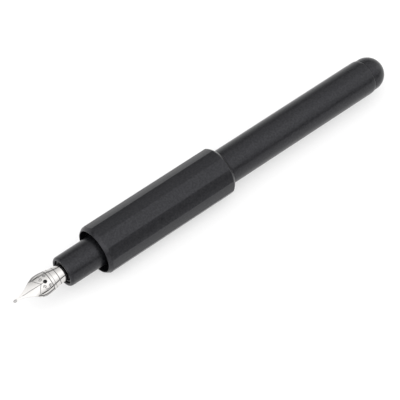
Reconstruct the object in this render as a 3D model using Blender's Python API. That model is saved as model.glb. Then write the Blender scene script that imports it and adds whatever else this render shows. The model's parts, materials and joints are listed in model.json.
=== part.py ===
"""A dip pen with a nib unit, a round barrel and a sliding twelve-sided nib guard.

The pen lies along X, nib towards -X, on one flat of its sleeve. Every place along it is a
station in millimetres, counted from the nib's tip, and every radius is from the pen's axis.
"""
import math

import bmesh
import bpy
from mathutils import Matrix

MM = 0.001

# Overall
PEN_LENGTH = 144.4
ACROSS_FLATS = 15.52          # the sleeve, flat to flat
SLEEVE_FLATS = 12
AXIS_HEIGHT = ACROSS_FLATS / 2
OUTER_SIDES = 36              # facets of the barrel and of what fits it
INNER_SIDES = 24              # facets of the smaller turned pieces

# Fits, on the radius or along the axis
RUNNING_FIT = 0.08
PRESS_FIT = 0.05
SEAT_GAP = 0.05

# Nib
NIB_LENGTH = 25.0
NIB_THICKNESS = 0.30
NIB_ROLL = math.radians(24)   # the nib faces a little towards -Y
SHANK_RADIUS = 2.80
SHANK_HALF_WIDTH = 2.78
SHOULDER_AT = 10.1
SHOULDER_RADIUS = 4.30
SHOULDER_HALF_WIDTH = 3.72
NECK_AT = 17.6
TIP_HALF_WIDTH = 0.45
TINE_SHARPNESS = 2.9
BEND_AT = 6.0
TIP_DROP = 0.45
BREATHER_AT = 11.15
BREATHER_RADIUS = 0.62
SLIT_WIDTH = 0.10
TIPPING_RADIUS = 0.50

# Feed
FEED_FRONT = 3.6
FEED_REAR = 37.4
FEED_HALF_WIDTH = 2.42
FEED_DEPTH = 2.72
FIN_FIRST = 9.6
FIN_LAST = 17.2
FIN_PITCH = 0.95
FIN_SLOT_DEPTH = 0.9
CHANNEL_WIDTH = 0.35
CHANNEL_DEPTH = 0.6

# Section and the housing in it
SECTION_FRONT = 17.8
SECTION_RADIUS = 4.83
SECTION_REAR_RADIUS = 4.90
SECTION_RIM_LENGTH = 0.90
SECTION_RIM = 0.70
SECTION_BORE = 3.75
FLANGE_RADIUS = 5.60
FLANGE_LENGTH = 1.1
TAIL_RADIUS = 4.22
TAIL_LENGTH = 8.8
HOUSING_FRONT = 18.5
HOUSING_REAR = 39.0
NIPPLE_RADIUS = 1.90
NIPPLE_LENGTH = 7.0
INK_BORE = 0.80

# Barrel
BARREL_FRONT = 36.4
BARREL_REAR = 137.7
BARREL_RADIUS = 5.72
BARREL_BORE = 4.85
BARREL_REAR_BORE = 4.50
BARREL_ROUND_LENGTH = 1.6
SEAM_RADIUS = 5.32
PLUG_THREAD_LENGTH = 8.0
INSERT_FRONT = 38.0
INSERT_LENGTH = 8.0

# Sleeve
SLEEVE_FRONT = 29.63
SLEEVE_REAR = 78.3
SLEEVE_BORE = 6.86
LIP_BORE = 6.95
LIP_RADIUS = 7.06
LIP_LENGTH = 1.73
REAR_CHAMFER_LENGTH = 1.60
REAR_RIM_RADIUS = 6.72
CHAMFER_BULGE = 0.06
REAR_WALL = 0.90
SLEEVE_TRAVEL = 30.7
COLLAR_FRONT = 36.7
COLLAR_REAR = 40.0
COLLAR_RADIUS = 6.76
CIRCLIP_FRONT = 35.6           # it stops against the collar when the sleeve is drawn back
CIRCLIP_WIDTH = 0.70
CIRCLIP_BORE = 6.20
CIRCLIP_GAP = math.radians(24)
CIRCLIP_GROOVE = 0.26
GROOVE_WIDTH = 0.80
RING_CORD = 0.30              # radius of the friction rings' cord

# End plug
PLUG_RADIUS = 5.42
DOME_LENGTH = 5.43
PLUG_CAVITY = 3.30
PLUG_RING_AT = 135.8

# Converter
MOUTH_FRONT = 39.7
MOUTH_REAR = 50.4
MOUTH_RADIUS = 3.45
TUBE_FRONT = 47.6
TUBE_REAR = 76.5
TUBE_RADIUS = 3.20
TUBE_BORE = 2.65
FERRULE_FRONT = 72.5
FERRULE_REAR = 88.0
FERRULE_RADIUS = 3.60
KNOB_REAR = 112.0
FLANGE_ROOM_FRONT = 82.0      # the room in the ferrule that traps the knob's flange
FLANGE_ROOM_REAR = 83.8
FLANGE_ROOM_RADIUS = 2.70
KNOB_NECK_RADIUS = 2.00
KNOB_WALL = 0.90
KNOB_FLUTES = 12
NUT_RADIUS = 2.50
NUT_LENGTH = 4.0
GUIDE_RADIUS = 1.20           # the ferrule's hole before its keyway is cut, and the ink way
KNOB_RADIUS = 3.50
PISTON_FRONT = 50.8
PISTON_LENGTH = 4.0
ROD_RADIUS = 1.50
ROD_FLATS = 2.20
ROD_REAR = 93.2


def clear_scene():
    for old in list(bpy.data.objects):
        bpy.data.objects.remove(old)


def material(name, colour, roughness, metallic):
    made = bpy.data.materials.new(name)
    made.use_nodes = True
    shader = made.node_tree.nodes["Principled BSDF"]
    shader.inputs["Base Color"].default_value = (*colour, 1.0)
    shader.inputs["Roughness"].default_value = roughness
    shader.inputs["Metallic"].default_value = metallic
    return made


def pen_axis():
    """The empty that carries every piece: it stands on the axis, at the nib's tip."""
    empty = bpy.data.objects.new("pen_axis", None)
    empty.location = (-PEN_LENGTH / 2 * MM, 0.0, AXIS_HEIGHT * MM)
    bpy.context.scene.collection.objects.link(empty)
    return empty


def add_piece(name, bm, look, parent, roll=0.0):
    """Link a mesh made in millimetres as one named piece of the pen."""
    bmesh.ops.scale(bm, vec=(MM, MM, MM), verts=bm.verts)
    bmesh.ops.recalc_face_normals(bm, faces=bm.faces)
    mesh = bpy.data.meshes.new(name)
    bm.to_mesh(mesh)
    bm.free()
    mesh.shade_smooth()
    mesh.set_sharp_from_angle(angle=math.radians(35))
    mesh.materials.append(look)
    piece = bpy.data.objects.new(name, mesh)
    piece.parent = parent
    piece.rotation_euler.x = roll
    bpy.context.scene.collection.objects.link(piece)
    return piece


def add_cutter(name, bm, look, parent, roll=0.0):
    cutter = add_piece(name, bm, look, parent, roll)
    cutter.hide_render = True
    cutter.display_type = "WIRE"
    return cutter


def boolean(piece, cutter, operation):
    modifier = piece.modifiers.new(operation.lower() + "_" + cutter.name, "BOOLEAN")
    modifier.solver = "EXACT"
    modifier.operation = operation
    modifier.object = cutter


def turn(bm, outline, sides):
    """Spin (station, radius) points about the axis. An outline that starts and ends on the
    axis is a solid piece, and any other is a closed ring."""
    corners = [bm.verts.new((station, 0.0, radius)) for station, radius in outline]
    solid = outline[0][1] == 0.0 and outline[-1][1] == 0.0
    lines = [bm.edges.new(pair) for pair in zip(corners, corners[1:])]
    if not solid:
        lines.append(bm.edges.new((corners[-1], corners[0])))
    bmesh.ops.spin(bm, geom=corners + lines, cent=(0, 0, 0), axis=(1, 0, 0),
                   angle=math.tau, steps=sides, use_merge=True)
    bmesh.ops.remove_doubles(bm, verts=bm.verts, dist=1e-5)


def turned(name, outline, look, parent, sides=INNER_SIDES):
    bm = bmesh.new()
    turn(bm, outline, sides)
    return add_piece(name, bm, look, parent)


def quarter(start, end, steps, bulge_first="radius"):
    """Points of a quarter ellipse from start to end, without start. The outline leaves
    start along the radius or along the axis."""
    points = []
    for step in range(1, steps + 1):
        angle = math.pi / 2 * step / steps
        slow = 1 - math.cos(angle)
        fast = math.sin(angle)
        along, out = (slow, fast) if bulge_first == "radius" else (fast, slow)
        points.append((start[0] + (end[0] - start[0]) * along,
                       start[1] + (end[1] - start[1]) * out))
    return points


def bulged(start, end, steps):
    """Points of a chamfer from start to end, without start, a little fuller in its middle."""
    points = []
    for step in range(1, steps + 1):
        share = step / steps
        bulge = CHAMFER_BULGE * math.sin(math.pi * share)
        points.append((start[0] + (end[0] - start[0]) * share,
                       start[1] + (end[1] - start[1]) * share + bulge))
    return points


def tube_outline(front, rear, outer, inner):
    return [(front, outer), (rear, outer), (rear, inner), (front, inner)]


def ring_outline(station, radius, cord, points=8):
    """The round section of an O-ring."""
    return [(station + cord * math.cos(math.tau * step / points),
             radius + cord * math.sin(math.tau * step / points)) for step in range(points)]


def ease(value, start, end):
    """0 before start, 1 after end and smooth between."""
    share = min(max((value - start) / (end - start), 0.0), 1.0)
    return share * share * (3 - 2 * share)


# Nib and feed

def nib_half_width(station):
    if station < SHOULDER_AT:
        ogive = math.sin(math.pi / 2 * station / SHOULDER_AT) ** TINE_SHARPNESS
        return TIP_HALF_WIDTH + (SHOULDER_HALF_WIDTH - TIP_HALF_WIDTH) * ogive
    narrowing = ease(station, SHOULDER_AT, NECK_AT)
    return SHOULDER_HALF_WIDTH + (SHANK_HALF_WIDTH - SHOULDER_HALF_WIDTH) * narrowing


def nib_radius(station):
    narrowing = ease(station, SHOULDER_AT, NECK_AT)
    return SHOULDER_RADIUS + (SHANK_RADIUS - SHOULDER_RADIUS) * narrowing


def nib_crown(station):
    """Height of the nib's ridge line over the axis: the tines bend down a little."""
    bend = max(BEND_AT - station, 0.0) / BEND_AT
    return SHANK_RADIUS - TIP_DROP * bend * bend


def nib_height(station, across, depth=0.0):
    """Height of the nib's surface, depth under its outer face."""
    radius = nib_radius(station) - depth
    return nib_crown(station) - nib_radius(station) + math.sqrt(radius ** 2 - across ** 2)


def make_nib(look, parent):
    rows = 20
    columns = 10
    bm = bmesh.new()
    grid = []
    for row in range(rows + 1):
        station = TIPPING_RADIUS + (NIB_LENGTH - TIPPING_RADIUS) * (row / rows) ** 1.25
        reach = math.asin(nib_half_width(station) / nib_radius(station))
        angles = [reach * (2 * column / columns - 1) for column in range(columns + 1)]
        acrosses = [nib_radius(station) * math.sin(angle) for angle in angles]
        grid.append([bm.verts.new((station, across, nib_height(station, across)))
                     for across in acrosses])
    for front, rear in zip(grid, grid[1:]):
        for column in range(columns):
            bm.faces.new((front[column], rear[column], rear[column + 1], front[column + 1]))
    outer = list(bm.faces)
    bmesh.ops.recalc_face_normals(bm, faces=outer)
    upwards = sum(face.normal.z for face in outer) > 0
    bmesh.ops.solidify(bm, geom=outer, thickness=NIB_THICKNESS if upwards else -NIB_THICKNESS)
    nib = add_piece("nib", bm, look, parent, NIB_ROLL)

    pellet = bmesh.new()
    bmesh.ops.create_uvsphere(pellet, u_segments=12, v_segments=8, radius=TIPPING_RADIUS)
    pellet_height = nib_crown(0.0) - NIB_THICKNESS / 2
    bmesh.ops.translate(pellet, verts=pellet.verts, vec=(TIPPING_RADIUS, 0.0, pellet_height))
    boolean(nib, add_cutter("tipping_form", pellet, look, parent, NIB_ROLL), "UNION")

    slit = bmesh.new()
    bmesh.ops.create_cube(slit, size=1.0)
    bmesh.ops.scale(slit, verts=slit.verts, vec=(BREATHER_AT + 1.0, SLIT_WIDTH, 4.0))
    bmesh.ops.translate(slit, verts=slit.verts,
                        vec=((BREATHER_AT - 1.0) / 2, 0.0, SHANK_RADIUS))
    boolean(nib, add_cutter("slit_cutter", slit, look, parent, NIB_ROLL), "DIFFERENCE")

    hole = bmesh.new()
    bmesh.ops.create_cone(hole, cap_ends=True, segments=12, radius1=BREATHER_RADIUS,
                          radius2=BREATHER_RADIUS, depth=2.0)
    bmesh.ops.translate(hole, verts=hole.verts, vec=(BREATHER_AT, 0.0, SHANK_RADIUS))
    boolean(nib, add_cutter("breather_cutter", hole, look, parent, NIB_ROLL), "DIFFERENCE")
    return nib


def feed_half_width(station):
    opening = ease(station, FEED_FRONT - 2.5, FIN_FIRST + 2.0)
    return min(0.5 + (FEED_HALF_WIDTH - 0.5) * opening, nib_half_width(station) - 0.3)


def feed_depth(station, slotted):
    swelling = ease(station, FEED_FRONT - 1.0, FIN_FIRST + 3.5)
    depth = -1.2 + (FEED_DEPTH + 1.2) * swelling
    return depth - FIN_SLOT_DEPTH * swelling if slotted else depth


def feed_section(station, slotted):
    """The feed's outline across the pen: its top follows the nib, its belly is half round."""
    half = feed_half_width(station)
    under_nib = NIB_THICKNESS + PRESS_FIT
    points = []
    for step in range(7):
        across = half * math.cos(math.pi * step / 6)
        points.append((across, nib_height(station, across, under_nib)))
    edge = points[0][1]
    for step in range(1, 8):
        angle = math.pi * (1 + step / 8)
        drop = (edge + feed_depth(station, slotted)) * math.sin(angle)
        points.append((half * math.cos(angle), edge + drop))
    return [(station, across, height) for across, height in points]


def make_feed(look, parent):
    wall = 0.03
    stations = [(FEED_FRONT + 1.2 * step, False) for step in range(5)]
    slot = FIN_FIRST
    while slot < FIN_LAST:
        stations += [(slot, False), (slot + wall, True)]
        stations += [(slot + FIN_PITCH / 2, True), (slot + FIN_PITCH / 2 + wall, False)]
        slot += FIN_PITCH
    stations += [(SECTION_FRONT + 1.0, False), (FEED_REAR, False)]
    bm = bmesh.new()
    loops = []
    for station, slotted in stations:
        loops.append([bm.verts.new(point) for point in feed_section(station, slotted)])
    for front, rear in zip(loops, loops[1:]):
        count = len(front)
        for step in range(count):
            after = (step + 1) % count
            bm.faces.new((front[step], front[after], rear[after], rear[step]))
    bm.faces.new(loops[0])
    bm.faces.new(loops[-1])
    feed = add_piece("feed", bm, look, parent, NIB_ROLL)

    channel = bmesh.new()
    bmesh.ops.create_cube(channel, size=1.0)
    length = FEED_REAR - FEED_FRONT + 2.0
    bmesh.ops.scale(channel, verts=channel.verts, vec=(length, CHANNEL_WIDTH, 2.0))
    top = SHANK_RADIUS - NIB_THICKNESS
    bmesh.ops.translate(channel, verts=channel.verts,
                        vec=((FEED_FRONT + FEED_REAR) / 2, 0.0, top + 1.0 - CHANNEL_DEPTH))
    boolean(feed, add_cutter("channel_cutter", channel, look, parent, NIB_ROLL), "DIFFERENCE")
    return feed


def make_nib_housing(look, parent):
    """The cup that nib and feed are pushed into, with the nipple that feeds it ink."""
    outer = SECTION_BORE - PRESS_FIT
    bore = SHANK_RADIUS + RUNNING_FIT
    back = FEED_REAR + 0.2
    nipple_end = HOUSING_REAR + NIPPLE_LENGTH
    outline = [(HOUSING_FRONT, bore + 0.15), (HOUSING_FRONT, outer - 0.2),
               (HOUSING_FRONT + 0.2, outer), (HOUSING_REAR, outer),
               (HOUSING_REAR, NIPPLE_RADIUS), (nipple_end - 0.3, NIPPLE_RADIUS),
               (nipple_end, NIPPLE_RADIUS - 0.3), (nipple_end, INK_BORE), (back, INK_BORE),
               (back, bore), (HOUSING_FRONT + 0.15, bore)]
    return turned("nib_housing", outline, look, parent)


def make_section(look, parent):
    flange_rear = BARREL_FRONT - SEAT_GAP
    flange_front = flange_rear - FLANGE_LENGTH
    outline = [(SECTION_FRONT, SECTION_BORE + 0.05),
               (SECTION_FRONT, SECTION_RADIUS - SECTION_RIM)]
    outline += quarter(outline[-1], (SECTION_FRONT + SECTION_RIM_LENGTH, SECTION_RADIUS), 5)
    outline += [(SECTION_FRONT + 9.5, SECTION_RADIUS + 0.05),
                (flange_front, SECTION_REAR_RADIUS), (flange_front, FLANGE_RADIUS),
                (flange_rear, FLANGE_RADIUS), (flange_rear, TAIL_RADIUS),
                (flange_rear + TAIL_LENGTH, TAIL_RADIUS),
                (flange_rear + TAIL_LENGTH, SECTION_BORE), (SECTION_FRONT + 0.3, SECTION_BORE)]
    return turned("section", outline, look, parent)


def make_section_o_ring(look, parent):
    cord = 0.26
    outline = ring_outline(BARREL_FRONT + 0.45, TAIL_RADIUS + PRESS_FIT + cord, cord, 6)
    return turned("section_o_ring", outline, look, parent)


# Barrel and end plug

def make_barrel(look, parent):
    outline = [(BARREL_FRONT, BARREL_BORE), (BARREL_FRONT, BARREL_RADIUS - 0.1),
               (BARREL_FRONT + 0.1, BARREL_RADIUS),
               (BARREL_REAR - BARREL_ROUND_LENGTH, BARREL_RADIUS)]
    outline += quarter(outline[-1], (BARREL_REAR, SEAM_RADIUS), 4, "axis")
    thread_front = BARREL_REAR - PLUG_THREAD_LENGTH - 0.4
    outline += [(BARREL_REAR, BARREL_REAR_BORE), (thread_front, BARREL_REAR_BORE),
                (thread_front, BARREL_BORE)]
    return turned("barrel", outline, look, parent, OUTER_SIDES)


def make_barrel_insert(look, parent):
    outline = tube_outline(INSERT_FRONT, INSERT_FRONT + INSERT_LENGTH,
                           BARREL_BORE - PRESS_FIT, TAIL_RADIUS + RUNNING_FIT)
    return turned("barrel_insert", outline, look, parent, OUTER_SIDES)


def make_stop_collar(look, parent):
    edge = 0.3
    bore = BARREL_RADIUS + PRESS_FIT
    outline = [(COLLAR_FRONT, bore), (COLLAR_FRONT, COLLAR_RADIUS - edge),
               (COLLAR_FRONT + edge, COLLAR_RADIUS), (COLLAR_REAR - edge, COLLAR_RADIUS),
               (COLLAR_REAR, COLLAR_RADIUS - edge), (COLLAR_REAR, bore)]
    return turned("stop_collar", outline, look, parent, OUTER_SIDES)


def make_end_plug(look, parent):
    front = BARREL_REAR + SEAT_GAP
    tail_front = BARREL_REAR - PLUG_THREAD_LENGTH
    tail = BARREL_REAR_BORE - RUNNING_FIT
    dome_front = PEN_LENGTH - DOME_LENGTH
    groove = tail - 0.75
    outline = [(PEN_LENGTH, 0.0)]
    outline += quarter(outline[-1], (dome_front, PLUG_RADIUS), 6)
    outline += [(front + 0.25, PLUG_RADIUS), (front, SEAM_RADIUS - 0.04), (front, tail),
                (PLUG_RING_AT + 0.4, tail), (PLUG_RING_AT + 0.4, groove),
                (PLUG_RING_AT - 0.4, groove), (PLUG_RING_AT - 0.4, tail),
                (tail_front, tail), (tail_front, PLUG_CAVITY), (dome_front + 1.0, PLUG_CAVITY),
                (dome_front + 2.0, PLUG_CAVITY / 2), (dome_front + 2.2, 0.0)]
    return turned("end_plug", outline, look, parent, OUTER_SIDES)


def make_end_plug_o_ring(look, parent):
    cord = 0.33
    outline = ring_outline(PLUG_RING_AT, BARREL_REAR_BORE - RUNNING_FIT - cord, cord, 6)
    return turned("end_plug_o_ring", outline, look, parent)


# Sleeve

def make_sleeve_shell(look, parent):
    """A turned tube whose outside is milled to twelve flats: the turned ends stay round."""
    blank = ACROSS_FLATS / 2 / math.cos(math.pi / SLEEVE_FLATS) + 0.1
    rear_inner = SLEEVE_REAR - REAR_WALL
    groove_front = CIRCLIP_FRONT - SEAT_GAP
    groove_rear = CIRCLIP_FRONT + CIRCLIP_WIDTH + SEAT_GAP
    groove = SLEEVE_BORE + CIRCLIP_GROOVE
    outline = [(SLEEVE_FRONT + 0.1, SLEEVE_BORE), (SLEEVE_FRONT, LIP_BORE),
               (SLEEVE_FRONT, LIP_RADIUS)]
    outline += bulged(outline[-1], (SLEEVE_FRONT + LIP_LENGTH, blank), 3)
    outline += [(SLEEVE_REAR - REAR_CHAMFER_LENGTH, blank)]
    outline += bulged(outline[-1], (SLEEVE_REAR, REAR_RIM_RADIUS), 3)
    outline += [(SLEEVE_REAR, BARREL_RADIUS + RUNNING_FIT),
                (rear_inner, BARREL_RADIUS + RUNNING_FIT), (rear_inner, SLEEVE_BORE),
                (groove_rear, SLEEVE_BORE), (groove_rear, groove), (groove_front, groove),
                (groove_front, SLEEVE_BORE)]
    shell = turned("sleeve_shell", outline, look, parent, OUTER_SIDES)

    flats = bmesh.new()
    corner = ACROSS_FLATS / 2 / math.cos(math.pi / SLEEVE_FLATS)
    bmesh.ops.create_cone(flats, cap_ends=True, segments=SLEEVE_FLATS, radius1=corner,
                          radius2=corner, depth=SLEEVE_REAR - SLEEVE_FRONT + 4.0)
    half_flat = math.pi / SLEEVE_FLATS
    bmesh.ops.rotate(flats, verts=flats.verts, matrix=Matrix.Rotation(half_flat, 3, "Z"))
    bmesh.ops.rotate(flats, verts=flats.verts, matrix=Matrix.Rotation(math.pi / 2, 3, "Y"))
    bmesh.ops.translate(flats, verts=flats.verts,
                        vec=((SLEEVE_FRONT + SLEEVE_REAR) / 2, 0.0, 0.0))
    boolean(shell, add_cutter("flats_form", flats, look, parent), "INTERSECT")
    return shell


def make_sleeve_circlip(look, parent):
    """An open spring ring in the sleeve's groove."""
    outer = SLEEVE_BORE + CIRCLIP_GROOVE - SEAT_GAP
    rear = CIRCLIP_FRONT + CIRCLIP_WIDTH
    bm = bmesh.new()
    loops = []
    for step in range(OUTER_SIDES + 1):
        angle = (math.tau - CIRCLIP_GAP) * step / OUTER_SIDES + CIRCLIP_GAP / 2
        loops.append([bm.verts.new((station, radius * math.sin(angle), radius * math.cos(angle)))
                      for station, radius in ((CIRCLIP_FRONT, CIRCLIP_BORE), (rear, CIRCLIP_BORE),
                                              (rear, outer), (CIRCLIP_FRONT, outer))])
    for loop, following in zip(loops, loops[1:]):
        for step in range(4):
            after = (step + 1) % 4
            bm.faces.new((loop[step], loop[after], following[after], following[step]))
    bm.faces.new(loops[0])
    bm.faces.new(loops[-1])
    return add_piece("sleeve_circlip", bm, look, parent)


def bush_span():
    """The bush fills the sleeve's rear and stops against the collar when it is forward."""
    return COLLAR_REAR + SLEEVE_TRAVEL + 0.2, SLEEVE_REAR - REAR_WALL - SEAT_GAP


def bush_grooves():
    front, rear = bush_span()
    return [front + (rear - front) * share for share in (0.25, 0.75)]


def make_sleeve_bush(look, parent):
    front, rear = bush_span()
    bore = BARREL_RADIUS + RUNNING_FIT
    groove = bore + 2 * RING_CORD + 0.1
    outline = [(front, bore), (front, SLEEVE_BORE - PRESS_FIT), (rear, SLEEVE_BORE - PRESS_FIT),
               (rear, bore)]
    for station in reversed(bush_grooves()):
        outline += [(station + GROOVE_WIDTH / 2, bore), (station + GROOVE_WIDTH / 2, groove),
                    (station - GROOVE_WIDTH / 2, groove), (station - GROOVE_WIDTH / 2, bore)]
    return turned("sleeve_bush", outline, look, parent, OUTER_SIDES)


def make_sleeve_o_rings(look, parent):
    radius = BARREL_RADIUS + RUNNING_FIT + 0.02 + RING_CORD
    for place, station in zip(("front", "rear"), bush_grooves()):
        turned("sleeve_o_ring_" + place, ring_outline(station, radius, RING_CORD, 6), look,
               parent, OUTER_SIDES)


# Converter

def flatted_bar(bm, front, rear, radius, across_flats, sides):
    """A round bar with two flats, which can slide in a matching hole but not turn."""
    half = across_flats / 2
    ends = []
    for station in (front, rear):
        loop = []
        for step in range(sides):
            angle = math.tau * (step + 0.5) / sides
            across = min(max(radius * math.cos(angle), -half), half)
            loop.append(bm.verts.new((station, across, radius * math.sin(angle))))
        ends.append(loop)
    for step in range(sides):
        after = (step + 1) % sides
        bm.faces.new((ends[0][step], ends[0][after], ends[1][after], ends[1][step]))
    bm.faces.new(ends[0])
    bm.faces.new(ends[1])


def make_converter_mouth(look, parent):
    socket = NIPPLE_RADIUS + RUNNING_FIT
    nipple_end = HOUSING_REAR + NIPPLE_LENGTH + 0.3
    tube_seat = TUBE_FRONT - SEAT_GAP
    outline = [(MOUTH_FRONT, socket), (MOUTH_FRONT, MOUTH_RADIUS - 0.4),
               (MOUTH_FRONT + 0.4, MOUTH_RADIUS), (MOUTH_REAR, MOUTH_RADIUS),
               (MOUTH_REAR, TUBE_RADIUS + PRESS_FIT), (tube_seat, TUBE_RADIUS + PRESS_FIT),
               (tube_seat, GUIDE_RADIUS), (nipple_end, GUIDE_RADIUS), (nipple_end, socket)]
    return turned("converter_mouth", outline, look, parent)


def make_converter_tube(look, parent):
    outline = tube_outline(TUBE_FRONT, TUBE_REAR, TUBE_RADIUS, TUBE_BORE)
    return turned("converter_tube", outline, look, parent)


def make_converter_ferrule(look, parent):
    seat = TUBE_REAR + SEAT_GAP
    neck_bore = KNOB_NECK_RADIUS + RUNNING_FIT
    outline = [(FERRULE_FRONT, TUBE_RADIUS + PRESS_FIT), (FERRULE_FRONT, FERRULE_RADIUS - 0.2),
               (FERRULE_FRONT + 0.3, FERRULE_RADIUS), (FERRULE_REAR, FERRULE_RADIUS),
               (FERRULE_REAR, neck_bore), (FLANGE_ROOM_REAR, neck_bore),
               (FLANGE_ROOM_REAR, FLANGE_ROOM_RADIUS), (FLANGE_ROOM_FRONT, FLANGE_ROOM_RADIUS),
               (FLANGE_ROOM_FRONT, GUIDE_RADIUS), (seat, GUIDE_RADIUS),
               (seat, TUBE_RADIUS + PRESS_FIT)]
    ferrule = turned("converter_ferrule", outline, look, parent)
    keyway = bmesh.new()
    flatted_bar(keyway, seat - 1.0, FLANGE_ROOM_FRONT + 1.0, ROD_RADIUS + RUNNING_FIT,
                ROD_FLATS + 2 * RUNNING_FIT, 24)
    boolean(ferrule, add_cutter("keyway_cutter", keyway, look, parent), "DIFFERENCE")
    return ferrule


def knob_nut_span():
    front = FERRULE_REAR + 0.8
    return front, front + NUT_LENGTH


def make_converter_knob(look, parent):
    """A hollow grip: its flanged neck is trapped in the ferrule, so it turns in place."""
    nut_front, nut_rear = knob_nut_span()
    clear = ROD_RADIUS + 0.15
    shoulder = FERRULE_REAR + 0.3
    flange_front = FLANGE_ROOM_FRONT + 0.3
    flange_rear = FLANGE_ROOM_REAR - 0.3
    flange = FLANGE_ROOM_RADIUS - 0.1
    outer = [(flange_front, clear), (flange_front, flange), (flange_rear, flange),
             (flange_rear, KNOB_NECK_RADIUS), (shoulder, KNOB_NECK_RADIUS),
             (shoulder, KNOB_RADIUS - 0.3), (shoulder + 0.3, KNOB_RADIUS),
             (KNOB_REAR - 0.8, KNOB_RADIUS), (KNOB_REAR, KNOB_RADIUS - 0.8), (KNOB_REAR, 0.0)]
    cavity = [(nut_front, clear), (nut_front, NUT_RADIUS), (nut_rear, NUT_RADIUS),
              (nut_rear, clear), (KNOB_REAR - KNOB_WALL, clear), (KNOB_REAR - KNOB_WALL, 0.0)]
    knob = turned("converter_knob", [*reversed(outer), *cavity], look, parent)
    flutes = bmesh.new()
    for step in range(KNOB_FLUTES):
        flute = bmesh.ops.create_cone(flutes, cap_ends=True, segments=6, radius1=0.3,
                                      radius2=0.3, depth=KNOB_REAR - shoulder - 4.0)
        bmesh.ops.rotate(flutes, verts=flute["verts"], matrix=Matrix.Rotation(math.pi / 2, 3, "Y"))
        bmesh.ops.translate(flutes, verts=flute["verts"],
                            vec=((KNOB_REAR + shoulder) / 2, 0.0, KNOB_RADIUS + 0.05))
        turn_to = Matrix.Rotation(math.tau * (step + 0.5) / KNOB_FLUTES, 3, "X")
        bmesh.ops.rotate(flutes, verts=flute["verts"], matrix=turn_to)
    boolean(knob, add_cutter("flute_cutter", flutes, look, parent), "DIFFERENCE")
    return knob


def make_converter_nut(look, parent):
    front, rear = knob_nut_span()
    outline = tube_outline(front + SEAT_GAP, rear - SEAT_GAP, NUT_RADIUS - PRESS_FIT,
                           ROD_RADIUS + RUNNING_FIT)
    return turned("converter_nut", outline, look, parent)


def piston_grooves():
    return [PISTON_FRONT + PISTON_LENGTH * share for share in (0.28, 0.72)]


def make_piston_head(look, parent):
    land = TUBE_BORE - 0.15
    core = 1.75
    outline = [(PISTON_FRONT, 0.0), (PISTON_FRONT, land)]
    for station in piston_grooves():
        outline += [(station - 0.45, land), (station - 0.45, core), (station + 0.45, core),
                    (station + 0.45, land)]
    outline += [(PISTON_FRONT + PISTON_LENGTH, land), (PISTON_FRONT + PISTON_LENGTH, 0.0)]
    return turned("piston_head", outline, look, parent)


def make_piston_seals(look, parent):
    cord = 0.38
    radius = TUBE_BORE - RUNNING_FIT - cord
    for place, station in zip(("front", "rear"), piston_grooves()):
        turned("piston_seal_" + place, ring_outline(station, radius, cord, 6), look, parent)


def make_piston_rod(look, parent):
    bm = bmesh.new()
    flatted_bar(bm, PISTON_FRONT + PISTON_LENGTH + SEAT_GAP, ROD_REAR, ROD_RADIUS,
                ROD_FLATS, 24)
    return add_piece("piston_rod", bm, look, parent)


def main():
    clear_scene()
    axis = pen_axis()
    black_metal = material("black_anodised", (0.012, 0.013, 0.015), 0.38, 1.0)
    nib_steel = material("nib_steel", (0.78, 0.79, 0.80), 0.12, 1.0)
    black_resin = material("black_resin", (0.010, 0.010, 0.011), 0.35, 0.0)
    brass = material("brass", (0.72, 0.53, 0.24), 0.30, 1.0)
    rubber = material("rubber", (0.012, 0.012, 0.012), 0.75, 0.0)
    clear_resin = material("clear_resin", (0.85, 0.88, 0.90), 0.08, 0.0)
    acetal = material("acetal", (0.75, 0.74, 0.70), 0.45, 0.0)
    bright_steel = material("bright_steel", (0.70, 0.71, 0.72), 0.20, 1.0)

    make_nib(nib_steel, axis)
    make_feed(black_resin, axis)
    make_nib_housing(black_resin, axis)
    make_section(black_metal, axis)
    make_section_o_ring(rubber, axis)
    make_barrel(black_metal, axis)
    make_barrel_insert(brass, axis)
    make_stop_collar(brass, axis)
    make_end_plug(black_metal, axis)
    make_end_plug_o_ring(rubber, axis)
    make_sleeve_shell(black_metal, axis)
    make_sleeve_circlip(bright_steel, axis)
    make_sleeve_bush(acetal, axis)
    make_sleeve_o_rings(rubber, axis)
    make_converter_mouth(black_resin, axis)
    make_converter_tube(clear_resin, axis)
    make_converter_ferrule(bright_steel, axis)
    make_converter_knob(black_resin, axis)
    make_converter_nut(acetal, axis)
    make_piston_head(acetal, axis)
    make_piston_seals(rubber, axis)
    make_piston_rod(acetal, axis)


main()
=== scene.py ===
"""The looks of the dip pen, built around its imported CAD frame.

Places along the pen are stations in millimetres from the nib's tip, and radii are from the
pen's axis, as on a turner's drawing. Every piece is made in those units and placed at the end.
"""
import json
import math

import bmesh
import bpy
import numpy as np
from mathutils import Matrix, Quaternion, Vector


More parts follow.
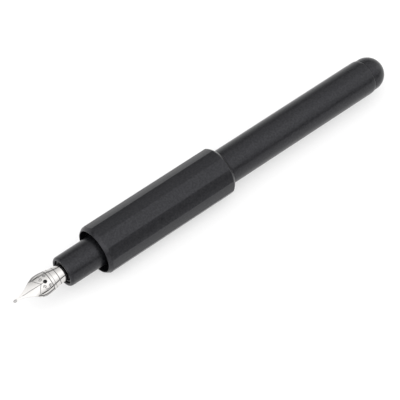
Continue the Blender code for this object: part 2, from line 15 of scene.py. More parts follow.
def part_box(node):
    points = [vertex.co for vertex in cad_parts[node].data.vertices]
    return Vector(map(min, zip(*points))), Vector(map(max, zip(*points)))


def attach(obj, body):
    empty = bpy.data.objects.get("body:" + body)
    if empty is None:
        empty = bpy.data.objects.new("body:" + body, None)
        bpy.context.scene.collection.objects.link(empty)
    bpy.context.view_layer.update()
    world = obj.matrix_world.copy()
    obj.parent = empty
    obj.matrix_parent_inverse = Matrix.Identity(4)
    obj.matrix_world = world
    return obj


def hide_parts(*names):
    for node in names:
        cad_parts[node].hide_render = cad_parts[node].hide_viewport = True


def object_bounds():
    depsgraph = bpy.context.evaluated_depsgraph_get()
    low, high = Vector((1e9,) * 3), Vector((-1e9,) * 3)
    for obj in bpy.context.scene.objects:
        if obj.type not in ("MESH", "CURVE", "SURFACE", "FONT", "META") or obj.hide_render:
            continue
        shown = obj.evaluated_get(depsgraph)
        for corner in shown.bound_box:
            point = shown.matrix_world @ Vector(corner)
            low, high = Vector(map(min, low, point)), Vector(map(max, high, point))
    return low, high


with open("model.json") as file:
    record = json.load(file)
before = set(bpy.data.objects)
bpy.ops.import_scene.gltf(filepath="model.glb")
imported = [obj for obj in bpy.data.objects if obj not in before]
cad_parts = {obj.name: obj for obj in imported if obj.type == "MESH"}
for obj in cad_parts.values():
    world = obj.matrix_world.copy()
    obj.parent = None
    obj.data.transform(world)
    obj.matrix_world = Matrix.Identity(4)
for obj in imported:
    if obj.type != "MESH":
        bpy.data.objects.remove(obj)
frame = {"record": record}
cad_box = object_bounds()

MM = 0.001
TAU = math.tau
TIP_X = cad_box[0].x
AXIS_Z = (cad_box[0].z + cad_box[1].z) / 2
BODY_OF = {node: body for body, nodes in frame["record"]["behaviour"]["bodies"].items()
           for node in nodes}
SLOT_OF = {part["node"]: part["material_slot"] for part in frame["record"]["subparts"]}

SIDES = 120                   # columns of a turned piece
FILLET = 0.10                 # how much a turned corner is broken
MERGE_WITHIN = 0.002          # points this close are one point
SEAT_GAP = 0.05
RUNNING_FIT = 0.08
THREAD_PITCH = 0.75
THREAD_DEPTH = 0.26
THREAD_INSET = 0.3            # a nut's plain stretch before its thread

# Camera, at the photo's angle, in pen millimetres and degrees
CAMERA_STATION = 65.7
CAMERA_ASIDE = -5.18
CAMERA_AZIMUTH = -38.5
CAMERA_ELEVATION = 49.05
CAMERA_ROLL = -2.2
CAMERA_DISTANCE = 562.6
CAMERA_LENS = 169.9


# Placing

def place(points):
    """Pen millimetres (station, across, up) to the row frame's metres."""
    return np.asarray(points, float) * MM + np.array((TIP_X, 0.0, AXIS_Z))


def span(node):
    """A CAD node's front and rear stations and its outer radius."""
    low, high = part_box(node)
    return (low.x - TIP_X) / MM, (high.x - TIP_X) / MM, (high.z - low.z) / 2 / MM


def add_mesh(name, points, faces, sharp=40.0, engraving_and_painted_reflection_depths=None):
    """A piece with its doubled points merged. Its last argument is how deep in a cut line each
    point lies, hatch strokes of painted dark reflection included, which the mesh then remembers."""
    mesh = bpy.data.meshes.new(name)
    mesh.from_pydata(place(points).tolist(), [], faces)
    if engraving_and_painted_reflection_depths is not None:
        mesh.attributes.new("engraving_and_painted_reflection", "FLOAT", "POINT").data.foreach_set("value", engraving_and_painted_reflection_depths)
    work = bmesh.new()
    work.from_mesh(mesh)
    bmesh.ops.remove_doubles(work, verts=work.verts, dist=MERGE_WITHIN * MM)
    bmesh.ops.recalc_face_normals(work, faces=work.faces)
    work.to_mesh(mesh)
    work.free()
    mesh.shade_smooth()
    mesh.set_sharp_from_angle(angle=math.radians(sharp))
    piece = bpy.data.objects.new(name, mesh)
    bpy.context.scene.collection.objects.link(piece)
    return piece


def stands_for(piece, node, look):
    """The piece takes the CAD node's place: its body and a finished material."""
    piece.data.materials.append(look)
    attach(piece, BODY_OF[node])
    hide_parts(node)
    return piece


# Turned forms

def quarter(start, end, steps, first="radius"):
    """Points of a quarter ellipse from start to end, without start, none of them broken."""
    points = []
    for step in range(1, steps + 1):
        angle = math.pi / 2 * step / steps
        slow, fast = 1 - math.cos(angle), math.sin(angle)
        along, out = (slow, fast) if first == "radius" else (fast, slow)
        points.append((start[0] + (end[0] - start[0]) * along,
                       start[1] + (end[1] - start[1]) * out, 0.0))
    return points


def stretch(front, rear, radius, step=0.075):
    """Close rows along a cylinder, for a relief such as a thread."""
    count = max(2, round(abs(rear - front) / step))
    return [(front + (rear - front) * i / count, radius, 0.0) for i in range(count + 1)]


def broken(outline, fillet=FILLET, steps=3, ring=True):
    """The outline with its corners turned into small arcs. A corner's third value is its own
    size of arc, and 0 leaves it alone."""
    points = []
    count = len(outline)
    for index, corner in enumerate(outline):
        here = np.array(corner[:2])
        size = corner[2] if len(corner) > 2 else fillet
        if size == 0.0 or (not ring and index in (0, count - 1)):
            points.append(here)
            continue
        before = np.array(outline[index - 1][:2]) - here
        after = np.array(outline[(index + 1) % count][:2]) - here
        reach_before, reach_after = np.linalg.norm(before), np.linalg.norm(after)
        size = min(size, 0.45 * reach_before, 0.45 * reach_after)
        start = here + before / reach_before * size
        end = here + after / reach_after * size
        for step in range(steps + 1):
            share = step / steps
            points.append((1 - share) ** 2 * start + 2 * share * (1 - share) * here
                          + share ** 2 * end)
    return np.array(points)


def wrap(rows, columns, ring):
    """Faces between rows of points that go round the axis. A ring's last row meets its first,
    and a solid's end rows are poles, whose points merge."""
    faces = []
    for row in range(rows if ring else rows - 1):
        after = (row + 1) % rows
        for column in range(columns):
            beside = (column + 1) % columns
            faces.append((row * columns + column, row * columns + beside,
                          after * columns + beside, after * columns + column))
    return faces


def end_caps(rows, columns):
    """The flat ends of a solid whose end rows are outlines, not poles."""
    return [tuple(row * columns + column for column in range(columns)) for row in (0, rows - 1)]


def weighted(piece):
    """Flat stretches shade flat right up to their broken edges."""
    modifier = piece.modifiers.new("weighted_normals", "WEIGHTED_NORMAL")
    modifier.keep_sharp = True
    return piece


def lathe(name, outline, fillet=FILLET, sides=SIDES, relief=None):
    """A turned piece. relief(station, radius, angle) is cut from or added to the radius."""
    ring = outline[0][1] > 0.0 or outline[-1][1] > 0.0
    profile = broken(outline, fillet, ring=ring)
    angles = np.arange(sides) * TAU / sides
    stations = np.repeat(profile[:, :1], sides, axis=1)
    radii = np.repeat(profile[:, 1:], sides, axis=1)
    if relief:
        radii = radii + relief(stations, radii, angles[None, :])
    points = np.stack([stations, radii * np.cos(angles), radii * np.sin(angles)], axis=-1)
    return weighted(add_mesh(name, points.reshape(-1, 3), wrap(len(profile), sides, ring)))


def thread(front, rear, radius, sign):
    """The relief of a right-hand thread on a cylinder, a groove with sloping sides: sign is -1
    for a screw, 1 for a nut."""
    def relief(stations, radii, angles):
        turn = (stations / THREAD_PITCH - angles / TAU) % 1.0
        groove = np.clip(1.5 - 3.2 * np.abs(turn - 0.5), 0.0, 1.0)
        runout = np.clip(np.minimum(stations - front, rear - stations) / THREAD_PITCH, 0.0, 1.0)
        on_it = np.abs(radii - radius) < 0.01
        return sign * THREAD_DEPTH * groove * runout * on_it
    return relief


def tube(front, rear, outer, inner):
    return [(front, outer), (rear, outer), (rear, inner), (front, inner)]


# Materials

def new_material(name, colour, roughness, metallic=0.0):
    made = bpy.data.materials.new(name)
    made.use_nodes = True
    shader = made.node_tree.nodes["Principled BSDF"]
    shader.inputs["Base Color"].default_value = (*colour, 1.0)
    shader.inputs["Roughness"].default_value = roughness
    shader.inputs["Metallic"].default_value = metallic
    return made, made.node_tree, shader


def add_node(tree, kind, settings=None, **sockets):
    node = tree.nodes.new("ShaderNode" + kind)
    for key, value in (settings or {}).items():
        setattr(node, key, value)
    for key, value in sockets.items():
        socket = node.inputs[key.replace("_", " ")]
        if isinstance(value, bpy.types.NodeSocket):
            tree.links.new(value, socket)
        else:
            socket.default_value = value
    return node


def grain(tree, scale, stretch_by=(1.0, 1.0, 1.0), detail=3.0):
    """Noise fixed to the piece, scale cells to the metre, drawn out along the pen's axes."""
    place_of = add_node(tree, "TexCoord").outputs["Object"]
    mapping = add_node(tree, "Mapping", Vector=place_of, Scale=stretch_by)
    noise = add_node(tree, "TexNoise", Vector=mapping.outputs[0], Scale=scale, Detail=detail)
    return noise.outputs["Fac"]


def spread(tree, value, low, high, start=0.3, end=0.7):
    """A noise's middle range as values from low to high."""
    node = add_node(tree, "MapRange", Value=value)
    node.inputs["From Min"].default_value = start
    node.inputs["From Max"].default_value = end
    node.inputs["To Min"].default_value = low
    node.inputs["To Max"].default_value = high
    return node.outputs["Result"]


def tint(tree, value, dark, light):
    """A colour between dark and light."""
    mix = add_node(tree, "Mix", {"data_type": "RGBA"})
    tree.links.new(value, mix.inputs["Factor"])
    mix.inputs[6].default_value = (*dark, 1.0)
    mix.inputs[7].default_value = (*light, 1.0)
    return mix.outputs[2]


def bump(tree, shader, height, depth, strength=1.0, under=None):
    """Raises the surface by height times depth metres. Returns the normal."""
    node = add_node(tree, "Bump", Height=height, Strength=strength)
    node.inputs["Distance"].default_value = depth
    if under is not None:
        tree.links.new(under, node.inputs["Normal"])
    tree.links.new(node.outputs[0], shader.inputs["Normal"])
    return node.outputs[0]


def black_anodised():
    """Fine-blasted aluminium, dyed black: a soft sheen with faint turning lines under it."""
    made, tree, shader = new_material("black_anodised", (0.006, 0.0062, 0.007), 0.32)
    shader.inputs["Specular IOR Level"].default_value = 0.40
    shader.inputs["Specular Tint"].default_value = (0.93, 0.93, 1.0, 1.0)
    speckle = spread(tree, grain(tree, 1800.0, detail=1.0), 0.0, 1.0)
    tree.links.new(tint(tree, speckle, (0.001, 0.001, 0.0015), (0.012, 0.0122, 0.0135)),
                   shader.inputs["Base Color"])
    tree.links.new(spread(tree, grain(tree, 260.0), 0.285, 0.325), shader.inputs["Roughness"])
    blasted = bump(tree, shader, grain(tree, 2600.0, detail=2.0), 0.000026)
    bump(tree, shader, grain(tree, 900.0, (6.0, 0.2, 0.2)), 0.000004, 0.6, blasted)
    return made


def nib_steel():
    """Polished steel with hairlines along the nib; the engraving is etched grey, and the same dark
    grey on the hatch strokes and the wide border over the shoulder folds is painted dark
    reflection.
    """
    made, tree, shader = new_material("nib_steel", (0.66, 0.65, 0.64), 0.10, 1.0)
    cut = add_node(tree, "Attribute", {"attribute_name": "engraving_and_painted_reflection"}).outputs["Fac"]
    # dark grey in the cut lines: etched ornament, and painted dark reflection where the hatch and
    # the wide border cross the shoulder folds
    tree.links.new(tint(tree, cut, (0.67, 0.655, 0.64), (0.12, 0.12, 0.12)),
                   shader.inputs["Base Color"])
    hairlines = grain(tree, 2500.0, (0.04, 1.0, 1.0))
    polish = spread(tree, hairlines, 0.07, 0.12)
    rough = add_node(tree, "Mix", {"data_type": "FLOAT"})
    tree.links.new(cut, rough.inputs["Factor"])
    tree.links.new(polish, rough.inputs[2])
    rough.inputs[3].default_value = 0.45
    tree.links.new(rough.outputs[0], shader.inputs["Roughness"])
    bump(tree, shader, hairlines, 0.000002, 0.5)
    return made


def black_resin():
    made, tree, shader = new_material("black_resin", (0.012, 0.012, 0.013), 0.4)
    tree.links.new(spread(tree, grain(tree, 1200.0), 0.32, 0.5), shader.inputs["Roughness"])
    tree.links.new(tint(tree, grain(tree, 300.0), (0.009, 0.009, 0.010), (0.017, 0.017, 0.018)),
                   shader.inputs["Base Color"])
    bump(tree, shader, grain(tree, 6000.0), 0.00001, 0.4)
    return made


def turned_metal(name, dark, light, roughness):
    """Bare metal off the lathe: tool lines round it and a little tarnish."""
    made, tree, shader = new_material(name, light, roughness, 1.0)
    tree.links.new(tint(tree, grain(tree, 350.0), dark, light), shader.inputs["Base Color"])
    lines = grain(tree, 1600.0, (8.0, 0.15, 0.15))
    tree.links.new(spread(tree, lines, roughness - 0.07, roughness + 0.1),
                   shader.inputs["Roughness"])
    bump(tree, shader, lines, 0.000008, 0.6)
    return made


def rubber():
    made, tree, shader = new_material("rubber", (0.018, 0.018, 0.018), 0.75)
    tree.links.new(tint(tree, grain(tree, 900.0), (0.012, 0.012, 0.012), (0.026, 0.026, 0.025)),
                   shader.inputs["Base Color"])
    tree.links.new(spread(tree, grain(tree, 2500.0), 0.62, 0.85), shader.inputs["Roughness"])
    bump(tree, shader, grain(tree, 8000.0), 0.00002, 0.5)
    return made


def clear_resin():
    made, tree, shader = new_material("clear_resin", (0.93, 0.95, 0.96), 0.06)
    shader.inputs["Transmission Weight"].default_value = 1.0
    shader.inputs["IOR"].default_value = 1.49
    tree.links.new(spread(tree, grain(tree, 500.0), 0.04, 0.10), shader.inputs["Roughness"])
    bump(tree, shader, grain(tree, 700.0, (0.1, 1.0, 1.0)), 0.000004, 0.5)
    return made


def acetal():
    made, tree, shader = new_material("acetal", (0.80, 0.79, 0.75), 0.42)
    tree.links.new(tint(tree, grain(tree, 400.0), (0.74, 0.73, 0.69), (0.83, 0.82, 0.79)),
                   shader.inputs["Base Color"])
    lines = grain(tree, 1500.0, (6.0, 0.2, 0.2))
    tree.links.new(spread(tree, lines, 0.34, 0.52), shader.inputs["Roughness"])
    bump(tree, shader, lines, 0.000008, 0.5)
    return made


def tipping_alloy():
    """The hard grey alloy of the pellet, ground and not polished."""
    made, tree, shader = new_material("tipping_alloy", (0.50, 0.49, 0.48), 0.35, 1.0)
    tree.links.new(tint(tree, grain(tree, 3000.0), (0.42, 0.41, 0.41), (0.58, 0.57, 0.56)),
                   shader.inputs["Base Color"])
    tree.links.new(spread(tree, grain(tree, 5000.0), 0.28, 0.42), shader.inputs["Roughness"])
    return made


LOOKS = {
    "black_anodised": black_anodised(),
    "nib_steel": nib_steel(),
    "tipping_alloy": tipping_alloy(),
    "black_resin": black_resin(),
    "brass": turned_metal("brass", (0.62, 0.43, 0.18), (0.78, 0.58, 0.28), 0.24),
    "rubber": rubber(),
    "clear_resin": clear_resin(),
    "acetal": acetal(),
    "bright_steel": turned_metal("bright_steel", (0.60, 0.61, 0.62), (0.76, 0.77, 0.78), 0.20),
}


def finished(node, outline, fillet=FILLET, sides=SIDES, relief=None):
    """The turned piece that stands for a CAD node, in that node's own finish."""
    piece = lathe("finished_" + node, outline, fillet, sides, relief)
    return stands_for(piece, node, LOOKS[SLOT_OF[node]])


# Barrel, section and end plug

SECTION_RADIUS = 4.83
SECTION_REAR_RADIUS = 4.90
SECTION_RIM = 0.70
SECTION_RIM_LENGTH = 0.90
SECTION_BORE = 3.75
FLANGE_LENGTH = 1.1
TAIL_RADIUS = 4.22
NUT_THREAD_LENGTH = 8.0
SECTION_TAPER_AT = 9.5        # the grip widens from here to its rear
SEAM_RADIUS = 5.36
BARREL_ROUND_LENGTH = 1.6
BARREL_BORE = 4.85
DOME_LENGTH = 5.43
PLUG_TAIL_RADIUS = 4.42
PLUG_CAVITY = 3.30
PLUG_GROOVE_HALF = 0.4
PLUG_GROOVE_DEPTH = 0.75


def make_section():
    front, rear, flange = span("section")
    flange_rear = span("barrel")[0] - SEAT_GAP
    flange_front = flange_rear - FLANGE_LENGTH
    rim = (front, SECTION_RADIUS - SECTION_RIM)
    outline = [(front, SECTION_BORE + 0.25, 0.05), (*rim, 0.06)]
    outline += quarter(rim, (front + SECTION_RIM_LENGTH, SECTION_RADIUS), 12)
    outline += [(front + SECTION_TAPER_AT, SECTION_RADIUS + 0.04, 0.0),
                (flange_front, SECTION_REAR_RADIUS), (flange_front, flange),
                (flange_rear, flange), (flange_rear, TAIL_RADIUS)]
    thread_front, thread_rear = flange_rear + 1.2, rear - 0.4
    outline += stretch(thread_front, thread_rear, TAIL_RADIUS)
    outline += [(rear, TAIL_RADIUS, 0.25), (rear, SECTION_BORE), (front + 0.3, SECTION_BORE, 0.05)]
    finished("section", outline, relief=thread(thread_front, thread_rear, TAIL_RADIUS, -1))


def make_barrel():
    front, rear, radius = span("barrel")
    bore, rear_bore = BARREL_BORE, PLUG_TAIL_RADIUS + RUNNING_FIT
    round_front = rear - BARREL_ROUND_LENGTH
    thread_front = rear - NUT_THREAD_LENGTH - 0.4
    outline = [(front, bore), (front, radius - 0.1), (front + 0.1, radius),
               (round_front, radius, 0.0)]
    outline += quarter((round_front, radius), (rear, SEAM_RADIUS), 12, "axis")
    outline += [(rear, rear_bore)]
    outline += stretch(rear - 0.3, thread_front + 0.1, rear_bore)
    outline += [(thread_front, rear_bore), (thread_front, bore)]
    relief = thread(thread_front + 0.1, rear - 2.6, rear_bore, 1)
    finished("barrel", outline, relief=relief)

    front, rear, radius = span("barrel_insert")
    inner = TAIL_RADIUS + RUNNING_FIT
    outline = [(front, inner), (front, radius), (rear, radius), (rear, inner)]
    outline += stretch(rear - THREAD_INSET, front + THREAD_INSET, inner)
    relief = thread(front + THREAD_INSET, rear - THREAD_INSET, inner, 1)
    finished("barrel_insert", outline, relief=relief)

    front, rear, radius = span("stop_collar")
    bore = span("barrel")[2] + SEAT_GAP
    outline = [(front, bore), (front, radius, 0.3)]
    for groove in (0.36, 0.64):
        middle = front + (rear - front) * groove
        outline += [(middle - 0.2, radius), (middle - 0.12, radius - 0.15),
                    (middle + 0.12, radius - 0.15), (middle + 0.2, radius)]
    outline += [(rear, radius, 0.3), (rear, bore)]
    finished("stop_collar", outline, 0.05)


def make_end_plug():
    tail_front, end, radius = span("end_plug")
    seat = span("barrel")[1] + SEAT_GAP
    tail, cavity = PLUG_TAIL_RADIUS, PLUG_CAVITY
    dome_front = end - DOME_LENGTH
    ring_front, ring_rear, _ = span("end_plug_o_ring")
    ring_at = (ring_front + ring_rear) / 2
    outline = [(end, 0.0)]
    outline += quarter((end, 0.0), (dome_front, radius), 28)
    groove_front, groove_rear = ring_at - PLUG_GROOVE_HALF, ring_at + PLUG_GROOVE_HALF
    outline += [(seat + 0.07, radius, 0.04), (seat, SEAM_RADIUS, 0.02), (seat, tail),
                (groove_rear, tail, 0.05), (groove_rear, tail - PLUG_GROOVE_DEPTH),
                (groove_front, tail - PLUG_GROOVE_DEPTH), (groove_front, tail, 0.05)]
    thread_front, thread_rear = tail_front + 0.4, ring_at - 0.8
    outline += stretch(thread_rear, thread_front, tail)
    outline += [(tail_front, tail, 0.25), (tail_front, cavity), (dome_front + 1.0, cavity, 0.6),
                (dome_front + 2.0, cavity / 2, 0.5), (dome_front + 2.2, 0.0)]
    finished("end_plug", outline, relief=thread(thread_front, thread_rear, tail, -1))


def make_o_ring(node):
    """CAD rings have six or eight corners, so a round cord reaches a little past them."""
    front, rear, radius = span(node)
    cord = (rear - front) / 2
    middle = radius - 0.93 * cord
    outline = [((front + rear) / 2 + cord * math.cos(TAU * step / 20),
                middle + cord * math.sin(TAU * step / 20), 0.0) for step in range(20)]
    finished(node, outline)


# Sleeve

FLATS = 12
SLEEVE_BORE = 6.86
SLEEVE_LIP_BORE = 6.95
SLEEVE_LIP = 7.06
SLEEVE_LIP_LENGTH = 1.73
SLEEVE_REAR_RIM = 6.72
SLEEVE_REAR_LENGTH = 1.60
SLEEVE_REAR_WALL = 0.90
CHAMFER_BULGE = 0.06
CORNER_ROUND = 0.22
FLAT_CROWN = 0.10             # the flats are polished a little full, and lowest at their corners
CHAMFER_EDGE = 0.10
BUSH_GROOVE_DEPTH = 0.70
BUSH_GROOVE_HALF = 0.4
CLIP_INNER = 6.20
CLIP_GAP = math.radians(24)


def flat_columns():
    """Angles round the sleeve, closer at its corners, with a flat lowest."""
    half = math.pi / FLATS
    shares = [-1.0, -0.988, -0.975, -0.96, -0.94, -0.9, -0.75, -0.5, -0.25, 0.0,
              0.25, 0.5, 0.75, 0.9, 0.94, 0.96, 0.975, 0.988]
    return [half * (2 * flat + share) for flat in range(FLATS) for share in shares]


def flat_radius(angle, apothem):
    """Radius of a twelve-sided outline with rounded corners."""
    half = math.pi / FLATS
    off_corner = half - abs((angle + half) % (2 * half) - half)
    centre = (apothem - CORNER_ROUND) / math.cos(half)
    tangent = math.atan2(CORNER_ROUND * math.sin(half), centre + CORNER_ROUND * math.cos(half))
    if off_corner < tangent:
        return (centre * math.cos(off_corner) - FLAT_CROWN
                + math.sqrt(CORNER_ROUND ** 2 - (centre * math.sin(off_corner)) ** 2))
    return apothem / math.cos(half - off_corner) - FLAT_CROWN * (1 - off_corner / half) ** 2


def chamfer(start, end, share):
    """A point of a slightly full chamfer."""
    bulge = CHAMFER_BULGE * math.sin(math.pi * share)
    return (start[0] + (end[0] - start[0]) * share,
            start[1] + (end[1] - start[1]) * share + bulge)


def chamfer_share(start, end, radius):
    """Where the chamfer from start up to end reaches a radius."""
    low, high = 0.3, 1.0
    for _ in range(40):
        middle = (low + high) / 2
        if chamfer(start, end, middle)[1] < radius:
            low = middle
        else:
            high = middle
    return low


def make_sleeve_shell():
    front, rear, apothem = span("sleeve_shell")
    blank = apothem / math.cos(math.pi / FLATS) + 0.1
    barrel_bore = span("barrel")[2] + RUNNING_FIT
    clip_front, clip_rear, clip_radius = span("sleeve_circlip")
    groove = clip_radius + SEAT_GAP
    lip = (front, SLEEVE_LIP)
    lip_top = (front + SLEEVE_LIP_LENGTH, blank)
    rim = (rear, SLEEVE_REAR_RIM)
    rim_top = (rear - SLEEVE_REAR_LENGTH, blank)
    columns = flat_columns()
    rows = []
    for angle in columns:
        radius = flat_radius(angle, apothem)
        at_lip = chamfer_share(lip, lip_top, radius)
        at_rim = chamfer_share(rim, rim_top, radius)
        outline = [(front + 0.1, SLEEVE_BORE, 0.05), (front, SLEEVE_LIP_BORE, 0.03),
                   (*lip, 0.05)]
        outline += [(*chamfer(lip, lip_top, at_lip * share), 0.0) for share in (0.3, 0.6)]
        outline += [(*chamfer(lip, lip_top, at_lip), CHAMFER_EDGE)]
        outline += [(front + (rear - front) * share, radius, 0.0) for share in (0.25, 0.5, 0.75)]
        outline += [(*chamfer(rim, rim_top, at_rim), CHAMFER_EDGE)]
        outline += [(*chamfer(rim, rim_top, at_rim * share), 0.0) for share in (0.6, 0.3)]
        outline += [(*rim, 0.08), (rear, barrel_bore, 0.06),
                    (rear - SLEEVE_REAR_WALL, barrel_bore), (rear - SLEEVE_REAR_WALL, SLEEVE_BORE),
                    (clip_rear + SEAT_GAP, SLEEVE_BORE), (clip_rear + SEAT_GAP, groove, 0.0),
                    (clip_front - SEAT_GAP, groove, 0.0), (clip_front - SEAT_GAP, SLEEVE_BORE)]
        rows.append(broken(outline))
    profiles = np.array(rows).transpose(1, 0, 2)
    angles = np.array(columns)
    points = np.stack([profiles[..., 0], profiles[..., 1] * np.sin(angles),
                       -profiles[..., 1] * np.cos(angles)], axis=-1)
    piece = add_mesh("finished_sleeve_shell", points.reshape(-1, 3),
                     wrap(len(profiles), len(columns), True))
    stands_for(weighted(piece), "sleeve_shell", LOOKS["black_anodised"])


def make_sleeve_insides():
    front, rear, radius = span("sleeve_bush")
    bore = span("barrel")[2] + RUNNING_FIT
    groove = bore + BUSH_GROOVE_DEPTH
    outline = [(front, bore, 0.2), (front, radius, 0.15), (rear, radius, 0.15), (rear, bore, 0.2)]
    for place_at in ("rear", "front"):
        ring_front, ring_rear, _ = span("sleeve_o_ring_" + place_at)
        middle = (ring_front + ring_rear) / 2
        groove_front, groove_rear = middle - BUSH_GROOVE_HALF, middle + BUSH_GROOVE_HALF
        outline += [(groove_rear, bore, 0.05), (groove_rear, groove),
                    (groove_front, groove), (groove_front, bore, 0.05)]
    finished("sleeve_bush", outline)
    for place_at in ("rear", "front"):
        make_o_ring("sleeve_o_ring_" + place_at)

    front, rear, outer = span("sleeve_circlip")
    profile = broken([(front, CLIP_INNER), (rear, CLIP_INNER), (rear, outer), (front, outer)])
    angles = np.linspace(CLIP_GAP / 2, TAU - CLIP_GAP / 2, 121)
    points = [[(station, radius * math.sin(angle), radius * math.cos(angle))
               for angle in angles] for station, radius in profile]
    count = len(angles)
    faces = [face for face in wrap(len(profile), count, True)
             if (face[1] - face[0]) % count == 1]
    faces += [tuple(row * count + end for row in range(len(profile))) for end in (0, count - 1)]
    piece = add_mesh("finished_sleeve_circlip", np.array(points).reshape(-1, 3), faces)
    stands_for(weighted(piece), "sleeve_circlip", LOOKS["bright_steel"])


# Nib unit

NIB_ROLL = math.radians(24)   # towards the viewer
NIB_THICKNESS = 0.30
SHANK_RADIUS = 2.80
SHANK_HALF_WIDTH = 2.78
SHOULDER_AT = 10.1
SHOULDER_RADIUS = 4.30
SHOULDER_HALF_WIDTH = 3.62
NECK_AT = 17.6
TIP_HALF_WIDTH = 0.45
TINE_SHARPNESS = 2.9          # higher makes the tines' edges more hollow
TINE_FULLNESS = 0.75
SHOULDER_FULLNESS = 0.15
FOLD_FROM, FOLD_TO = 5.5, 9.2           # flat tines become folded shoulders
ROUND_FROM, ROUND_TO = 12.5, 17.4       # shoulders become a round neck
BEND_AT = 6.0                 # the tines bend down from here to the tip
TIP_DROP = 0.45
BREATHER_AT = 11.15
BREATHER_RADIUS = 0.60
SLIT_HALF = 0.045
TIPPING_RADIUS = 0.50
TIPPING_STRETCH = (1.35, 0.94, 0.96)
ENGRAVED_FROM, ENGRAVED_TO = 7.0, 15.6  # rows lie closer between these
ENGRAVE_DEPTH = 0.045
ENGRAVE_HALF = 0.13
# the border is cut wider than the other lines, so that it also paints dark reflection along the
# shoulder folds
BORDER_HALF = 0.19
BORDER_INSET = 0.60
# short dark strokes over the shoulder folds: painted dark reflection
PAINTED_REFLECTION_HATCH_FROM, PAINTED_REFLECTION_HATCH_TO = 8.4, 12.5
PAINTED_REFLECTION_HATCH_HALF = 0.10
PAINTED_REFLECTION_HATCH_PITCH = 0.42
NECK_BANDS = ((12.75, 0.20), (13.7, 0.10), (15.35, 0.17))     # station, half width


def ease(value, start, end):
    share = np.clip((value - start) / (end - start), 0.0, 1.0)
    return share * share * (3 - 2 * share)


def nib_half_width(station):
    if station < SHOULDER_AT:
        ogive = math.sin(math.pi / 2 * station / SHOULDER_AT) ** TINE_SHARPNESS
        return TIP_HALF_WIDTH + (SHOULDER_HALF_WIDTH - TIP_HALF_WIDTH) * ogive
    narrowing = ease(station, SHOULDER_AT, NECK_AT)
    return SHOULDER_HALF_WIDTH + (SHANK_HALF_WIDTH - SHOULDER_HALF_WIDTH) * narrowing


def nib_radius(station):
    return SHOULDER_RADIUS + (SHANK_RADIUS - SHOULDER_RADIUS) * ease(station, SHOULDER_AT,
                                                                    NECK_AT)


def nib_crown(station):
    bend = np.clip((BEND_AT - station) / BEND_AT, 0.0, 1.0)
    return SHANK_RADIUS - TIP_DROP * bend * bend


def nib_fullness(station, across):
    """How far the pressed nib stands over a plain arc: the tines are flatter, the shoulders
    fold down past a full middle, and the neck is round."""
    radius = nib_radius(station)
    drop = radius - np.sqrt(np.maximum(radius ** 2 - across ** 2, 0.0))
    share = np.minimum(np.abs(across) / nib_half_width(station), 1.0)
    fold = ease(station, FOLD_FROM, FOLD_TO)
    fullness = TINE_FULLNESS + (SHOULDER_FULLNESS - TINE_FULLNESS) * fold
    fading = 1 - ease(station, ROUND_FROM, ROUND_TO)
    return fullness * fading * drop * (1 - fold * share ** 3)


def nib_height(station, across, depth=0.0):
    radius = nib_radius(station)
    arc = nib_crown(station) - radius + np.sqrt((radius - depth) ** 2 - across ** 2)
    return arc + nib_fullness(station, across)


def spiral(centre, radius, turns, start, sign, count=60):
    """A curl cut in the steel that winds in to its centre."""
    share = np.linspace(0.0, 1.0, count)
    angle = start + sign * TAU * turns * share
    reach = radius * (1 - 0.86 * share)
    return np.stack([centre[0] + reach * np.cos(angle), centre[1] + reach * np.sin(angle)], -1)


def engraved_lines():
    """One half of a plain ornament, in station and distance across, each line with half its
    width: a border that follows the nib's edge, short strokes from it to the edge, a chevron
    over the tines, two curls joined by a bow, and bands round the neck. The short strokes, and
    the border's extra width, are painted dark reflection over the shoulder folds."""
    border = [(station, nib_half_width(station) * 1.04 - BORDER_INSET)
              for station in np.linspace(7.6, 12.6, 60)]
    chevron = [(8.1 + 1.7 * share, 2.2 * (1 - share) ** 1.3) for share in np.linspace(0, 1, 30)]
    front_curl = spiral((10.3, 1.30), 0.55, 1.3, math.pi, 1)
    rear_curl = spiral((11.9, 1.75), 0.48, 1.35, 0.0, -1)
    bow = [(10.3 + 1.5 * share, 2.05 + 0.25 * math.sin(math.pi * share))
           for share in np.linspace(0, 1, 20)]
    lines = [(np.array(line), ENGRAVE_HALF) for line in (chevron, front_curl, rear_curl, bow)]
    lines += [(np.array(border), BORDER_HALF)]
    # painted dark reflection: short dark strokes over the shoulder folds
    for station in np.arange(PAINTED_REFLECTION_HATCH_FROM, PAINTED_REFLECTION_HATCH_TO, PAINTED_REFLECTION_HATCH_PITCH):
        edge = nib_half_width(station)
        lines += [(np.array([(station, edge - 0.50), (station + 0.2, edge - 0.10)]), PAINTED_REFLECTION_HATCH_HALF)]
    return lines + [(np.array([(station, 0.0), (station, 3.4)]), half)
                    for station, half in NECK_BANDS]


def engraving(stations, across):
    """How deep in a cut line each point is, from 0 to 1."""
    deep = np.zeros(stations.shape)
    for line, half in engraved_lines():
        for start, end in zip(line, line[1:]):
            along = end - start
            share = np.clip(((stations - start[0]) * along[0] + (across - start[1]) * along[1])
                            / (along @ along), 0.0, 1.0)
            distance = np.hypot(stations - start[0] - share * along[0],
                                across - start[1] - share * along[1])
            deep = np.maximum(deep, np.clip(1.4 * (1 - distance / half), 0.0, 1.0))
    return deep * deep * (3 - 2 * deep)


def nib_stations(rear):
    """Rows along the nib, closer where it is engraved and closest at the breather hole."""
    hole = [BREATHER_AT - BREATHER_RADIUS * math.cos(math.pi * step / 22) for step in range(23)]
    fine = np.linspace(ENGRAVED_FROM, hole[0], 60)[:-1]
    behind = np.linspace(hole[-1], ENGRAVED_TO, 66)[1:]
    return np.concatenate([np.linspace(TIPPING_RADIUS, ENGRAVED_FROM, 40)[:-1], fine, hole,
                           behind, np.linspace(ENGRAVED_TO, rear, 40)[1:]])


def slit_edge(station):
    """Half the opening in the nib's middle: the slit, the breather hole, then nothing."""
    off_hole = BREATHER_RADIUS ** 2 - (station - BREATHER_AT) ** 2
    if station > BREATHER_AT:
        return math.sqrt(max(off_hole, 0.0))
    return max(SLIT_HALF, math.sqrt(max(off_hole, 0.0)))


